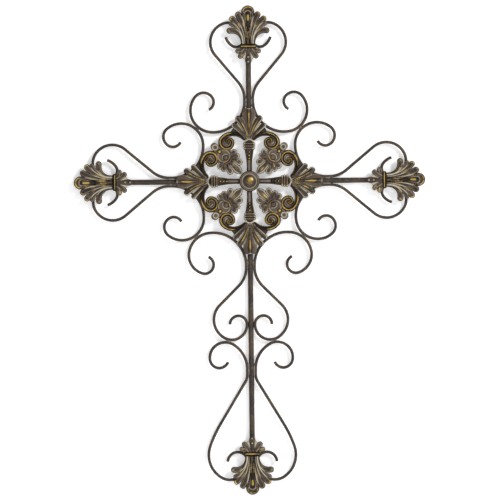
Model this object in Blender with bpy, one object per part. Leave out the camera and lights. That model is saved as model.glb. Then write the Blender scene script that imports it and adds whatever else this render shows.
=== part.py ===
"""A wrought iron wall cross: four round bars, ten bent wire scrolls, a cast rosette and four cast finials.

The flat back of the rosette's boss is at the origin and lies on the wall, the plane Y = 0.
The cross faces -Y, with +X to its right and +Z up.
Castings are laid out in their own plane: u runs outwards along an arm, v to one side, and h is the
height in front of their flat back.
"""

import math

import bmesh
import bpy
import numpy as np

MM = 0.001

# Bar and wire stock, and the gap kept between pieces that touch
BAR_DIAMETER = 10 * MM
WIRE_DIAMETER = 5.5 * MM
TOUCH = 0.3 * MM
BAR_SIDES = 12
WIRE_SIDES = 6
WIRE_SAG = 1.4 * MM
FINE_SAG = 0.03 * MM
WIRE_STRAIGHT_STEP = 120 * MM

# Reach from the middle of the cross to the tips
ARM_REACH = 328.5 * MM
FOOT_REACH = 586 * MM
BAR_STOPS_SHORT = 24 * MM

# Scrolls of the three arms: where the straight neck lies, then bend radius and angle in turn
ARM_NECK_START = 150.5 * MM
TOP_NECK_LENGTH = 3 * MM
SIDE_NECK_LENGTH = 5 * MM
ARM_CURL = ((58.4 * MM, 97), (40.8 * MM, 123), (19.6 * MM, 105), (16.2 * MM, 87))
ARM_HEART_FLARE = (50 * MM, 40)
ARM_HEART_RUN = 66 * MM
ARM_HEART = ((37.4 * MM, 103), (29.3 * MM, 124), (14.4 * MM, 118), (29.5 * MM, 34))

# Knee scrolls, below the rosette
KNEE_NECK_START = 155 * MM
KNEE_NECK_LENGTH = 15 * MM
KNEE_CURL = ((61.8 * MM, 96), (43.5 * MM, 73), (35.3 * MM, 84), (16.4 * MM, 172))
KNEE_HEART_FLARE = (21.5 * MM, 45)
KNEE_HEART_RUN = 62 * MM
KNEE_HEART = ((38.8 * MM, 105), (28.2 * MM, 124), (15.8 * MM, 177))

# Foot scrolls, down to the lowest finial
FOOT_NECK_START = 348 * MM
FOOT_NECK_LENGTH = 10 * MM
FOOT_CURL = ((54.5 * MM, 58), (28.9 * MM, 130), (17.6 * MM, 150))
FOOT_HEART_FLARE = (25 * MM, 31)
FOOT_HEART_RUN = 94 * MM
FOOT_HEART = ((215 * MM, 12), (49.5 * MM, 73), (33 * MM, 126), (18.7 * MM, 177))

# Castings: heights in front of the flat back
ROOT_HEIGHT = 4.5 * MM
LEAF_HEIGHT = 7 * MM
HUB_HEIGHT = 11 * MM
BEAD_PROUD = 2 * MM
FOOT_SINK = 0.5 * MM
KEEL_SINK = 3 * MM
VOLUTE_SAG = 1.1 * MM
FLAT_ANGLE = 5

# Finial, from the middle of its band
FINIAL_LENGTH_OUT = 74.9 * MM
FINIAL_WAIST = 12.5 * MM
FINIAL_BAND_HALF_WIDTH = 3.6 * MM
CROWN_HALF_WIDTH = 12.4 * MM
DROP_START = 2.5 * MM
DROP_LEAF_LENGTH = 36.5 * MM
DROP_LEAF_HALF_WIDTH = 4.6 * MM
DROP_BEAD = 29 * MM

# Its leaves on one side, inner first: start across, heading, straight run, bend radius, bend angle,
# and the half widths at root and tip
UPPER_LEAVES = ((4.5 * MM, 0, 5 * MM, 121 * MM, 26, 2 * MM, 5.3 * MM),
                (8 * MM, 0, 4 * MM, 60 * MM, 50, 2 * MM, 5.8 * MM),
                (11 * MM, 2, 7.5 * MM, 20.5 * MM, 96, 2 * MM, 5.5 * MM))
LOWER_LEAVES = ((4 * MM, 170, 0, 31 * MM, -36, 2 * MM, 4.8 * MM),
                (8 * MM, 150, 0, 16 * MM, -50, 2 * MM, 4.6 * MM))

# Rosette
HUB_RADIUS = 19.5 * MM
HUB_GROOVE_RADIUS = 13.9 * MM
HUB_BOSS_RADIUS = 9.9 * MM
SPOKE_HALF_AT_HUB = 5.4 * MM
SPOKE_HALF_AT_COLLAR = 8.9 * MM
COLLAR_START = 59.2 * MM
COLLAR_RINGS = 2
COLLAR_RING_PITCH = 6.7 * MM
COLLAR_HALF_WIDTH = 11.4 * MM
PALM_START = 75.4 * MM
PALM_TIP = 136.7 * MM
PALM_TIP_HALF_WIDTH = 13 * MM
PALM_END_LENGTH = 12 * MM
PALM_LEAVES = ((3.5 * MM, 12, 0, 120 * MM, 21, 1.6 * MM, 5.3 * MM),
               (6.5 * MM, 22, 0, 80 * MM, 26, 1.6 * MM, 4.6 * MM))
VOLUTE_START = (79.5 * MM, 9.5 * MM)
VOLUTE_HEADING = 45
VOLUTE = ((31 * MM, 45), (25 * MM, 45), (13.5 * MM, 45), (11.5 * MM, 90), (9.5 * MM, 80))
VOLUTE_HALF_WIDTHS = (4.5 * MM, 6 * MM, 4 * MM)
VOLUTE_EYE = (68.6 * MM, 36.5 * MM)
VOLUTE_EYE_RADIUS = 9 * MM
ACANTHUS_EYE = 64 * MM
ACANTHUS_EYE_RADIUS = 6 * MM
ACANTHUS_TIP = 21.4 * MM
ACANTHUS_TIP_ROUND = 11 * MM
ACANTHUS_BEAD = 78.5 * MM
ACANTHUS_TONGUE = 93 * MM
ACANTHUS_TONGUE_HALF_WIDTH = 6.9 * MM

# Lobes of the acanthus on one side: spread from its tip, length, and half width at the end
ACANTHUS_LOBES = ((32, 22 * MM, 6 * MM), (65, 15.5 * MM, 6.4 * MM), (100, 14 * MM, 6 * MM))

# Boss behind the hub, which stands on the wall and which the four bars meet
WALL_BOSS_RADIUS = 16 * MM
WALL_BOSS_SIDES = 20

BAR_Y = -BAR_DIAMETER / 2
WIRE_Y = -BAR_DIAMETER + WIRE_DIAMETER / 2
CASTING_BACK_Y = -BAR_DIAMETER - TOUCH
NECK_OFFSET = math.sqrt(((BAR_DIAMETER + WIRE_DIAMETER) / 2 + TOUCH) ** 2 - (BAR_Y - WIRE_Y) ** 2)

# Which way each arm points, in degrees from +X towards +Z
ARMS = {"right": 0, "top": 90, "left": 180, "bottom": 270}


def clear_scene():
    """Remove what the scene holds."""
    for thing in list(bpy.data.objects):
        bpy.data.objects.remove(thing, do_unlink=True)


def make_material(name, colour, roughness, metallic):
    """A plain metal finish."""
    material = bpy.data.materials.new(name)
    material.use_nodes = True
    shader = material.node_tree.nodes["Principled BSDF"]
    shader.inputs["Base Color"].default_value = (*colour, 1)
    shader.inputs["Roughness"].default_value = roughness
    shader.inputs["Metallic"].default_value = metallic
    return material


def bent_path(start, heading, bends, sag=WIRE_SAG, run_step=WIRE_STRAIGHT_STEP):
    """Points along straights and arcs that follow on smoothly.

    A bend is (radius, angle), where a positive angle turns from u towards v.
    A straight is (0, length). Headings are in degrees from u towards v.
    An arc's chords leave it by no more than the sag.
    """
    point = np.array(start, float)
    angle = math.radians(heading)
    points = [point]
    for radius, amount in bends:
        if radius == 0:
            count = max(1, math.ceil(amount / run_step))
            ahead = np.array((math.cos(angle), math.sin(angle)))
            points += [point + ahead * amount * i / count for i in range(1, count + 1)]
        else:
            turn = math.radians(amount)
            side = math.copysign(radius, turn)
            centre = point + side * np.array((-math.sin(angle), math.cos(angle)))
            count = max(2, math.ceil(abs(turn) / (2 * math.acos(1 - sag / radius))))
            for i in range(1, count + 1):
                now = angle + turn * i / count
                points.append(centre - side * np.array((-math.sin(now), math.cos(now))))
            angle += turn
        point = points[-1]
    return np.array(points)


def right_bends(bends):
    """The same bends, turning from v towards u."""
    return [(radius, -angle) for radius, angle in bends]


def scroll_path(neck_start, neck_length, curl, flare, run, heart):
    """A whole scroll: the curl bends back from the neck, the heart sweeps out from it and curls in."""
    back = bent_path((neck_start, NECK_OFFSET), 180, right_bends(curl))
    ahead = bent_path((neck_start + neck_length, NECK_OFFSET), 0, [flare, (0, run)] + right_bends(heart))
    return np.concatenate([back[::-1], ahead])


def nearest(path, other):
    """The least distance between two paths of straight pieces, taken from the points of each."""
    least = math.inf
    for points, line in ((path, other), (other, path)):
        starts = line[:-1]
        runs = line[1:] - starts
        offsets = points[:, None] - starts
        share = (offsets * runs).sum(2) / (runs * runs).sum(1)
        feet = offsets - np.clip(share, 0, 1)[..., None] * runs
        least = min(least, np.sqrt((feet * feet).sum(2)).min())
    return least


def slide_to_kiss(path, others, clearance, reach=60 * MM):
    """How far to move a path out along its arm so that it just touches the nearest of the others."""
    near = -reach
    far = reach
    while far - near > 0.01 * MM:
        middle = (near + far) / 2
        moved = path + np.array((middle, 0))
        if min(nearest(moved, other) for other in others) < clearance:
            near = middle
        else:
            far = middle
    return far


def on_arm(points, arm, side):
    """Turn (u, v) points on to an arm, as (x, z), with v on its left (side 1) or right (side -1)."""
    angle = math.radians(ARMS[arm])
    out = np.array((math.cos(angle), math.sin(angle)))
    across = np.array((-math.sin(angle), math.cos(angle))) * side
    return points[:, :1] * out + points[:, 1:] * across


def add_wire(name, flat_points, material):
    """A round wire along (x, z) points, as a bevelled curve with closed ends."""
    curve = bpy.data.curves.new(name, "CURVE")
    curve.dimensions = "3D"
    curve.bevel_depth = WIRE_DIAMETER / 2
    curve.bevel_resolution = WIRE_SIDES // 2 - 2
    curve.use_fill_caps = True
    spline = curve.splines.new("POLY")
    spline.points.add(len(flat_points) - 1)
    for point, (x, z) in zip(spline.points, flat_points):
        point.co = (x, WIRE_Y, z, 1)
    wire = bpy.data.objects.new(name, curve)
    bpy.context.collection.objects.link(wire)
    curve.materials.append(material)
    return wire


def add_mesh(name, bm, material):
    """Put a bmesh in the scene as a named object."""
    mesh = bpy.data.meshes.new(name)
    bm.to_mesh(mesh)
    bm.free()
    thing = bpy.data.objects.new(name, mesh)
    bpy.context.collection.objects.link(thing)
    mesh.materials.append(material)
    return thing


def add_bar(arm, reach, material):
    """A round bar from the rosette's boss out to behind a finial."""
    inner = WALL_BOSS_RADIUS + TOUCH
    length = reach - BAR_STOPS_SHORT - inner
    bm = bmesh.new()
    bmesh.ops.create_cone(bm, cap_ends=True, segments=BAR_SIDES, radius1=BAR_DIAMETER / 2,
                          radius2=BAR_DIAMETER / 2, depth=length)
    bar = add_mesh("bar_" + arm, bm, material)
    angle = math.radians(ARMS[arm])
    middle = inner + length / 2
    bar.rotation_euler = (0, math.pi / 2 - angle, 0)
    bar.location = (middle * math.cos(angle), BAR_Y, middle * math.sin(angle))
    bar.data.shade_smooth()
    bar.data.set_sharp_from_angle(angle=math.radians(40))
    return bar


# Cross-sections of a cast ridge: share of the half width, and share of the height
ROOF = ((-1, 0), (0, 1), (1, 0))
DOME = ((-1, 0), (-0.6, 0.85), (0.6, 0.85), (1, 0))

# Rays of a leaf: share of the way to its edge, and share of the height
ROUND_LEAF = ((-0.7, 0.8), (0, 1), (0.7, 0.8))
SMALL_LEAF = ((-0.5, 1), (0.5, 1))
BROAD_LEAF = ((-0.75, 0.8), (-0.22, 1), (0.22, 1), (0.75, 0.8))
SQUARE_LEAF = ((-0.6, 0.8), (-0.22, 1), (0.22, 1), (0.6, 0.8))
SQUARENESS = 0.3


def along_path(path):
    """Unit vectors ahead of and across a path, at each of its points."""
    ahead = np.gradient(path, axis=0)
    ahead /= np.linalg.norm(ahead, axis=1)[:, None]
    return ahead, np.stack([-ahead[:, 1], ahead[:, 0]], 1)


def add_ridge(bm, path, half_widths, heights, section):
    """Add a closed ridge that follows a flat path, with a keel that the flat back cuts off."""
    ahead, across = along_path(path)
    rings = []
    for point, side, width, height in zip(path, across, half_widths, heights):
        ring = []
        for share, rise in section:
            spot = point + side * share * width
            level = rise * height if rise else -FOOT_SINK
            ring.append(bm.verts.new((spot[0], spot[1], level)))
        ring.append(bm.verts.new((point[0], point[1], -KEEL_SINK)))
        rings.append(ring)
    add_rings(bm, rings)


def face_out(bm, faces):
    """Turn the faces of one closed body outwards."""
    bmesh.ops.recalc_face_normals(bm, faces=faces)
    volume = sum(face.calc_center_median().dot(face.normal) * face.calc_area() for face in faces)
    if volume < 0:
        bmesh.ops.reverse_faces(bm, faces=faces)


def add_rings(bm, rings):
    """Make a closed body from closed rings of points, with a flat face at each end."""
    count = len(rings[0])
    faces = [bm.faces.new(rings[0][::-1]), bm.faces.new(rings[-1])]
    for one, two in zip(rings, rings[1:]):
        for i in range(count):
            j = (i + 1) % count
            faces.append(bm.faces.new((one[i], one[j], two[j], two[i])))
    face_out(bm, faces)


class Leaf:
    """A leaf of a fan: its spine, how wide it is along it, and the round end.

    Along the spine the half width is root + (tip - root) * share ** 1.5, and the end is half a
    circle of radius tip, or a squarer end of its own length where that is given. A side of -1 gives
    the mirror image in the u axis.
    """

    def __init__(self, start, heading, bends, root, tip, height, rays=ROUND_LEAF, side=1, stations=4,
                 square_end=0):
        fine = bent_path(start, heading, bends, FINE_SAG, 2 * MM) * (1, side)
        along = np.concatenate([[0], np.cumsum(np.linalg.norm(np.diff(fine, axis=0), axis=1))])
        share = np.linspace(0, 1, stations)
        self.spine = np.stack([np.interp(share * along[-1], along, fine[:, i]) for i in (0, 1)], 1)
        ahead, across = along_path(fine)
        across = across[[np.abs(along - s * along[-1]).argmin() for s in share]]
        widths = (root + (tip - root) * share ** 1.5)[:, None]
        self.left = self.spine + across * widths
        self.right = self.spine - across * widths
        self.ahead = ahead[-1]
        self.across = across[-1]
        self.tip = tip
        self.rays = rays
        self.height = height
        self.rises = ROOT_HEIGHT + (height - ROOT_HEIGHT) * share
        self.square_end = square_end

    def ray(self, share, edge):
        """The line from the root to the round end, at a share of the way from the spine to an edge."""
        angle = share * math.pi / 2
        out = self.tip * math.cos(angle)
        if self.square_end:
            out = self.square_end * math.cos(angle) ** SQUARENESS
        end = self.spine[-1] + out * self.ahead + self.tip * math.sin(angle) * self.across
        return np.concatenate([self.spine + (edge - self.spine) * abs(share), [end]])

    def edge(self, line):
        """A line along the leaf's edge, carried a little way up the side of the round end."""
        return np.concatenate([line, [line[-1] + self.ahead * self.tip * 0.1]])


def add_fan(bm, leaves, closed=False):
    """Add leaves side by side as one closed relief, with a valley between each and the next.

    The leaves follow each other from right to left, and closed joins the last to the first.
    """
    lines = []
    levels = []
    pairs = list(zip(leaves, leaves[1:] + leaves[:1]))
    valleys = [(one.edge(one.left) + two.edge(two.right)) / 2 for one, two in pairs]
    if not closed:
        valleys[-1] = leaves[0].edge(leaves[0].right)
        last = leaves[-1].edge(leaves[-1].left)
    for i, leaf in enumerate(leaves):
        right = valleys[i - 1]
        left = valleys[i] if closed or leaf is not leaves[-1] else last
        low = np.concatenate([leaf.rises * 0.55, [leaf.height * 0.4]])
        lines.append(right)
        levels.append(low)
        for share, rise in leaf.rays:
            lines.append(leaf.ray(share, (right if share < 0 else left)[:-1]))
            levels.append(np.concatenate([rise * leaf.rises, [leaf.height * 0.5]]))
    lines.append(valleys[-1] if closed else last)
    levels.append(levels[0] if closed else low)
    top = [[bm.verts.new((*spot, level)) for spot, level in zip(*pair)] for pair in zip(lines, levels)]
    under = [[bm.verts.new((*spot, -KEEL_SINK)) for spot in line] for line in lines]
    corners = []
    if closed:
        top[-1] = top[0]
        under[-1] = under[0]
        corners += [[line[0] for line in top[:-1]], [line[0] for line in under[:-1]]]
    for i in range(len(lines) - 1):
        for grid in (top, under):
            for j in range(len(lines[0]) - 1):
                corners.append((grid[i][j], grid[i][j + 1], grid[i + 1][j + 1], grid[i + 1][j]))
        for j in (-1,) if closed else (0, -1):
            corners.append((top[i][j], top[i + 1][j], under[i + 1][j], under[i][j]))
    if not closed:
        for i in (0, -1):
            for j in range(len(lines[0]) - 1):
                corners.append((top[i][j], top[i][j + 1], under[i][j + 1], under[i][j]))
    face_out(bm, [bm.faces.new(face) for face in corners])


def add_bead(bm, centre, radius, height, sides=6):
    """Add a round bead: an upright stub with a bevelled top."""
    turned = ((radius, -FOOT_SINK), (radius, height - radius * 0.6), (radius * 0.5, height))
    add_turned(bm, turned, sides, centre)


def add_turned(bm, profile, sides, centre=(0, 0)):
    """Add a turned boss from (radius, height) pairs, outermost first."""
    rings = []
    for radius, height in profile:
        ring = []
        for i in range(sides):
            angle = math.tau * (i + 0.5) / sides
            spot = (centre[0] + radius * math.cos(angle), centre[1] + radius * math.sin(angle), height)
            ring.append(bm.verts.new(spot))
        rings.append(ring)
    add_rings(bm, rings)


def add_cross_roll(bm, u, half_length, half_width, height):
    """Add a rounded roll that lies across an arm."""
    path = np.array([(u, -half_length), (u, half_length)])
    add_ridge(bm, path, [half_width] * 2, [height] * 2, DOME)


def turned_copy(bm, angle):
    """Turn every point of a bmesh about the middle, from u towards v."""
    cosine = math.cos(angle)
    sine = math.sin(angle)
    for vert in bm.verts:
        u, v, h = vert.co
        vert.co = (u * cosine - v * sine, u * sine + v * cosine, h)


def leaf_pair(table, start_at, rays=ROUND_LEAF, stations=4):
    """A leaf and its mirror image, from a row of a table of leaves."""
    across, heading, straight, radius, angle, root, tip = table
    bends = [(0, straight)] if straight else []
    bends.append((radius, angle))
    return [Leaf((start_at, across), heading, bends, root, tip, LEAF_HEIGHT, rays, side, stations)
            for side in (1, -1)]


def finial_shapes(bm):
    """The palmette of a finial: crown, three leaves a side, band, and the small drop below it."""
    inner, middle, outer = [leaf_pair(row, 0) for row in UPPER_LEAVES]
    crown = Leaf((0, 0), 0, [(0, FINIAL_LENGTH_OUT - CROWN_HALF_WIDTH)], 2.5 * MM, CROWN_HALF_WIDTH,
                 LEAF_HEIGHT, BROAD_LEAF)
    add_fan(bm, [outer[1], middle[1], inner[1], crown, inner[0], middle[0], outer[0]])
    drop = Leaf((-DROP_START, 0), 180, [(0, DROP_LEAF_LENGTH - DROP_LEAF_HALF_WIDTH - DROP_START)], 2 * MM,
                DROP_LEAF_HALF_WIDTH, ROOT_HEIGHT, SMALL_LEAF, stations=3)
    near, far = [leaf_pair(row, -DROP_START, SMALL_LEAF, 3) for row in LOWER_LEAVES]
    add_fan(bm, [far[0], near[0], drop, near[1], far[1]])
    add_bead(bm, (-DROP_BEAD, 0), 3 * MM, ROOT_HEIGHT + BEAD_PROUD, 5)
    add_cross_roll(bm, -1.2 * MM, FINIAL_WAIST, FINIAL_BAND_HALF_WIDTH, LEAF_HEIGHT + 1.5 * MM)


def rosette_quarter(bm):
    """One spoke of the rosette with its collar, palm and pair of volutes."""
    spoke = np.array([(HUB_RADIUS - 4 * MM, 0), (COLLAR_START, 0), (PALM_START + 6 * MM, 0)])
    widths = (SPOKE_HALF_AT_HUB, SPOKE_HALF_AT_COLLAR, SPOKE_HALF_AT_COLLAR)
    add_ridge(bm, spoke, widths, [ROOT_HEIGHT] * len(spoke), DOME)
    for i in range(COLLAR_RINGS):
        u = COLLAR_START + COLLAR_RING_PITCH * (i + 0.5)
        add_cross_roll(bm, u, COLLAR_HALF_WIDTH, COLLAR_RING_PITCH * 0.45, LEAF_HEIGHT)
    palm = Leaf((PALM_START, 0), 0, [(0, PALM_TIP - PALM_START - PALM_END_LENGTH)], 2 * MM,
                PALM_TIP_HALF_WIDTH, LEAF_HEIGHT + 1 * MM, SQUARE_LEAF, stations=3,
                square_end=PALM_END_LENGTH)
    inner, outer = [leaf_pair(row, PALM_START, SMALL_LEAF, 3) for row in PALM_LEAVES]
    add_fan(bm, [outer[1], inner[1], palm, inner[0], outer[0]])
    for side in (1, -1):
        bends = [(radius, side * angle) for radius, angle in VOLUTE]
        volute = bent_path((VOLUTE_START[0], side * VOLUTE_START[1]), side * VOLUTE_HEADING, bends,
                           VOLUTE_SAG)
        share = np.linspace(0, 1, len(volute))
        widths = np.interp(share, (0, 0.5, 1), VOLUTE_HALF_WIDTHS)
        add_ridge(bm, volute, widths, [LEAF_HEIGHT + 0.5 * MM] * len(volute), ROOF)
        add_bead(bm, (VOLUTE_EYE[0], side * VOLUTE_EYE[1]), VOLUTE_EYE_RADIUS, LEAF_HEIGHT, 6)


def acanthus(bm):
    """The veined leaf between two spokes, along u: lobes round an eye, then a bead and a tongue."""
    high = ROOT_HEIGHT + 0.5 * MM
    tip = Leaf((ACANTHUS_EYE - ACANTHUS_EYE_RADIUS, 0), 180,
               [(0, ACANTHUS_EYE - ACANTHUS_TIP - ACANTHUS_TIP_ROUND)], 2 * MM, 5 * MM, high,
               SMALL_LEAF, stations=2)
    lobes = []
    for spread, length, width in ACANTHUS_LOBES:
        angle = math.radians(spread)
        start = (ACANTHUS_EYE - ACANTHUS_EYE_RADIUS * math.cos(angle), ACANTHUS_EYE_RADIUS * math.sin(angle))
        lobes.append([Leaf(start, 180 - spread, [(0, length)], 1.6 * MM, width, high, SMALL_LEAF, side, 2)
                      for side in (1, -1)])
    tongue = Leaf((ACANTHUS_EYE + ACANTHUS_EYE_RADIUS, 0), 0,
                  [(0, ACANTHUS_TONGUE - ACANTHUS_EYE - ACANTHUS_EYE_RADIUS)], 3 * MM,
                  ACANTHUS_TONGUE_HALF_WIDTH, high, SMALL_LEAF, stations=2)
    around = [tongue] + [lobe[0] for lobe in lobes[::-1]] + [tip] + [lobe[1] for lobe in lobes]
    add_fan(bm, around, closed=True)
    add_bead(bm, (ACANTHUS_EYE, 0), ACANTHUS_EYE_RADIUS + 0.5 * MM, LEAF_HEIGHT + 0.5 * MM)
    add_bead(bm, (ACANTHUS_BEAD, 0), 3.4 * MM, LEAF_HEIGHT + 1 * MM, 5)


def merge_into(target, builder, angle=0):
    """Build shapes in a bmesh of their own, turn them, and add them to the target."""
    part = bmesh.new()
    builder(part)
    turned_copy(part, angle)
    mesh = bpy.data.meshes.new("shapes")
    part.to_mesh(mesh)
    part.free()
    target.from_mesh(mesh)
    bpy.data.meshes.remove(mesh)


def add_box(name, low, high):
    """A hidden box for a Boolean cut."""
    bm = bmesh.new()
    bmesh.ops.create_cube(bm, size=1)
    for vert in bm.verts:
        vert.co = [a + (b - a) * (c + 0.5) for a, b, c in zip(low, high, vert.co)]
    return hide(add_mesh(name, bm, IRON))


def hide(thing):
    """Mark a cutter or a guide so that it isn't part of the model."""
    thing.hide_render = True
    thing.display_type = "WIRE"
    return thing


def add_boolean(thing, operation, other, within=False):
    """Join or cut a piece with a hidden one."""
    modifier = thing.modifiers.new(operation.lower(), "BOOLEAN")
    modifier.operation = operation
    modifier.object = other
    modifier.use_self = within


def dissolve_flats(thing):
    """Dissolve the edges that a Boolean leaves across flat faces."""
    modifier = thing.modifiers.new("flats", "DECIMATE")
    modifier.decimate_type = "DISSOLVE"
    modifier.angle_limit = math.radians(FLAT_ANGLE)


def stand_casting(bm, u_at, angle):
    """Turn (u, v, h) points into the model: out along an angle from u_at, with h in front."""
    cosine = math.cos(angle)
    sine = math.sin(angle)
    for vert in bm.verts:
        u, v, h = vert.co
        u += u_at
        vert.co = (u * cosine - v * sine, CASTING_BACK_Y - h, u * sine + v * cosine)


def add_finial(arm, reach, cutter, material):
    """A finial, with its tip at the end of an arm."""
    bm = bmesh.new()
    finial_shapes(bm)
    stand_casting(bm, reach - FINIAL_LENGTH_OUT, math.radians(ARMS[arm]))
    finial = add_mesh("finial_" + arm, bm, material)
    add_boolean(finial, "DIFFERENCE", cutter, True)
    dissolve_flats(finial)
    return finial


def add_rosette(cutter, material):
    """The pierced rosette, with the turned hub in front and the boss behind it."""
    bm = bmesh.new()
    for angle in ARMS.values():
        merge_into(bm, rosette_quarter, math.radians(angle))
        merge_into(bm, acanthus, math.radians(angle + 45))
    hub = ((HUB_RADIUS, -FOOT_SINK), (HUB_RADIUS, HUB_HEIGHT - 4 * MM),
           ((HUB_RADIUS + HUB_GROOVE_RADIUS) / 2, HUB_HEIGHT - 1.5 * MM),
           (HUB_GROOVE_RADIUS, HUB_HEIGHT - 4.5 * MM), (HUB_BOSS_RADIUS, HUB_HEIGHT - 3 * MM),
           (HUB_BOSS_RADIUS * 0.6, HUB_HEIGHT))
    add_turned(bm, hub, WALL_BOSS_SIDES)
    stand_casting(bm, 0, 0)
    rosette = add_mesh("rosette", bm, material)
    add_boolean(rosette, "DIFFERENCE", cutter, True)
    bm = bmesh.new()
    boss_depth = -CASTING_BACK_Y + HUB_HEIGHT / 3
    add_turned(bm, ((WALL_BOSS_RADIUS, 0), (WALL_BOSS_RADIUS, boss_depth)), WALL_BOSS_SIDES)
    for vert in bm.verts:
        u, v, depth = vert.co
        vert.co = (u, -depth, v)
    boss = hide(add_mesh("wall_boss_guide", bm, material))
    add_boolean(rosette, "UNION", boss)
    dissolve_flats(rosette)
    return rosette


def add_scrolls(material):
    """The ten scrolls, each slid along its bar until it touches its neighbour."""
    clearance = WIRE_DIAMETER + TOUCH
    top = scroll_path(ARM_NECK_START, TOP_NECK_LENGTH, ARM_CURL, ARM_HEART_FLARE, ARM_HEART_RUN, ARM_HEART)
    beside = scroll_path(ARM_NECK_START, SIDE_NECK_LENGTH, ARM_CURL, ARM_HEART_FLARE, ARM_HEART_RUN,
                         ARM_HEART)
    knee = scroll_path(KNEE_NECK_START, KNEE_NECK_LENGTH, KNEE_CURL, KNEE_HEART_FLARE, KNEE_HEART_RUN,
                       KNEE_HEART)
    foot = scroll_path(FOOT_NECK_START, FOOT_NECK_LENGTH, FOOT_CURL, FOOT_HEART_FLARE, FOOT_HEART_RUN,
                       FOOT_HEART)
    # Swapping u and v turns a path on one arm into its neighbour on the next
    beside[:, 0] += slide_to_kiss(beside, [top[:, ::-1]], clearance)
    knee[:, 0] += slide_to_kiss(knee, [beside[:, ::-1]], clearance)
    foot[:, 0] += slide_to_kiss(foot, [knee], clearance)
    for path, place in ((top, "top"), (beside, "left"), (beside, "right")):
        for side in (1, -1):
            which = {"top": "left", "left": "lower", "right": "upper"}[place]
            if side < 0:
                which = {"left": "right", "lower": "upper", "upper": "lower"}[which]
            add_wire(f"scroll_{place}_{which}", on_arm(path, place, side), material)
    for path, name in ((knee, "scroll_knee"), (foot, "scroll_foot")):
        for side, which in ((1, "right"), (-1, "left")):
            add_wire(f"{name}_{which}", on_arm(path, "bottom", side), material)


clear_scene()
IRON = make_material("dark_iron", (0.055, 0.042, 0.032), 0.55, 0.7)
CAST = make_material("cast_bronze_patina", (0.095, 0.072, 0.045), 0.5, 0.7)

reach_of = {"right": ARM_REACH, "top": ARM_REACH, "left": ARM_REACH, "bottom": FOOT_REACH}
back_cutter = add_box("back_cutter", (-FOOT_REACH, CASTING_BACK_Y, -2 * FOOT_REACH),
                      (FOOT_REACH, CASTING_BACK_Y + 5 * KEEL_SINK, 2 * FOOT_REACH))
for arm_name, arm_reach in reach_of.items():
    add_bar(arm_name, arm_reach, IRON)
    add_finial(arm_name, arm_reach, back_cutter, CAST)
add_scrolls(IRON)
add_rosette(back_cutter, CAST)
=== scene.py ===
"""Looks of a wrought iron wall cross, laid out as a Blender add-on and run as a script.

Lengths are in metres. The cross hangs on the wall Y = 0 and faces -Y, with +Z up.
A casting is drawn in its own plane: u runs out along an arm, v to one side, and h is the height in
front of its flat back. A wire or a bar is drawn along a flat path of straights and arcs.
"""

import math

import bpy
import numpy as np
from bpy.props import FloatProperty, FloatVectorProperty, IntProperty, PointerProperty
from mathutils import Euler, Matrix, Vector


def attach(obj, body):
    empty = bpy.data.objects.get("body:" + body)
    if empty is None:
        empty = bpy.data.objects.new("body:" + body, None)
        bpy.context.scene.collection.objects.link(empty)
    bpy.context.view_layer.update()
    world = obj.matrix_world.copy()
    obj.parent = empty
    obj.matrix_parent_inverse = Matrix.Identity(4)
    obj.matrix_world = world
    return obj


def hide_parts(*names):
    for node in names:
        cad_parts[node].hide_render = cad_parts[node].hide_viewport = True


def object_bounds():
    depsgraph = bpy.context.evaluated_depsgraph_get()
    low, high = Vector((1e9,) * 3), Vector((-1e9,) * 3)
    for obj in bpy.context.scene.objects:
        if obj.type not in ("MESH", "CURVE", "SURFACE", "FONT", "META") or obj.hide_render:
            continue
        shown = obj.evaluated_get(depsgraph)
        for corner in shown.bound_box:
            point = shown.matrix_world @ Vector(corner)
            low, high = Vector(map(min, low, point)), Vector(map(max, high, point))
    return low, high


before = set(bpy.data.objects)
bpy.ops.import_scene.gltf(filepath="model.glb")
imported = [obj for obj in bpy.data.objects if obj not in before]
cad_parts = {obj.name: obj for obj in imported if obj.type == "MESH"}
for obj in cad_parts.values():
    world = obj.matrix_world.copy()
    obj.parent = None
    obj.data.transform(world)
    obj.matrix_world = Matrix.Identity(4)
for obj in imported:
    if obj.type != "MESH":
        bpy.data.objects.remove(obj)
CAD_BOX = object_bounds()

bl_info = {
    "name": "Wrought iron wall cross",
    "version": (1, 0, 0),
    "blender": (4, 5, 0),
    "location": "3D View > Sidebar > Wall cross",
    "description": "Dresses the wall cross with wires, welds, castings, finishes and a studio",
    "category": "Object",
}

MM = 0.001

# Where things lie, as in the model
TOUCH = 0.3 * MM
ARM_REACH = 328.5 * MM
FOOT_REACH = 586 * MM
BAR_STOPS_SHORT = 24 * MM
BAR_DIAMETER = 10 * MM
WIRE_DIAMETER = 5.5 * MM
BAR_Y = -BAR_DIAMETER / 2
WIRE_Y = -BAR_DIAMETER + WIRE_DIAMETER / 2
CASTING_BACK_Y = -BAR_DIAMETER - TOUCH
NECK_OFFSET = math.sqrt(((BAR_DIAMETER + WIRE_DIAMETER) / 2 + TOUCH) ** 2 - (BAR_Y - WIRE_Y) ** 2)
WALL_BOSS_RADIUS = 16 * MM
ARMS = {"right": 0, "top": 90, "left": 180, "bottom": 270}

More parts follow.
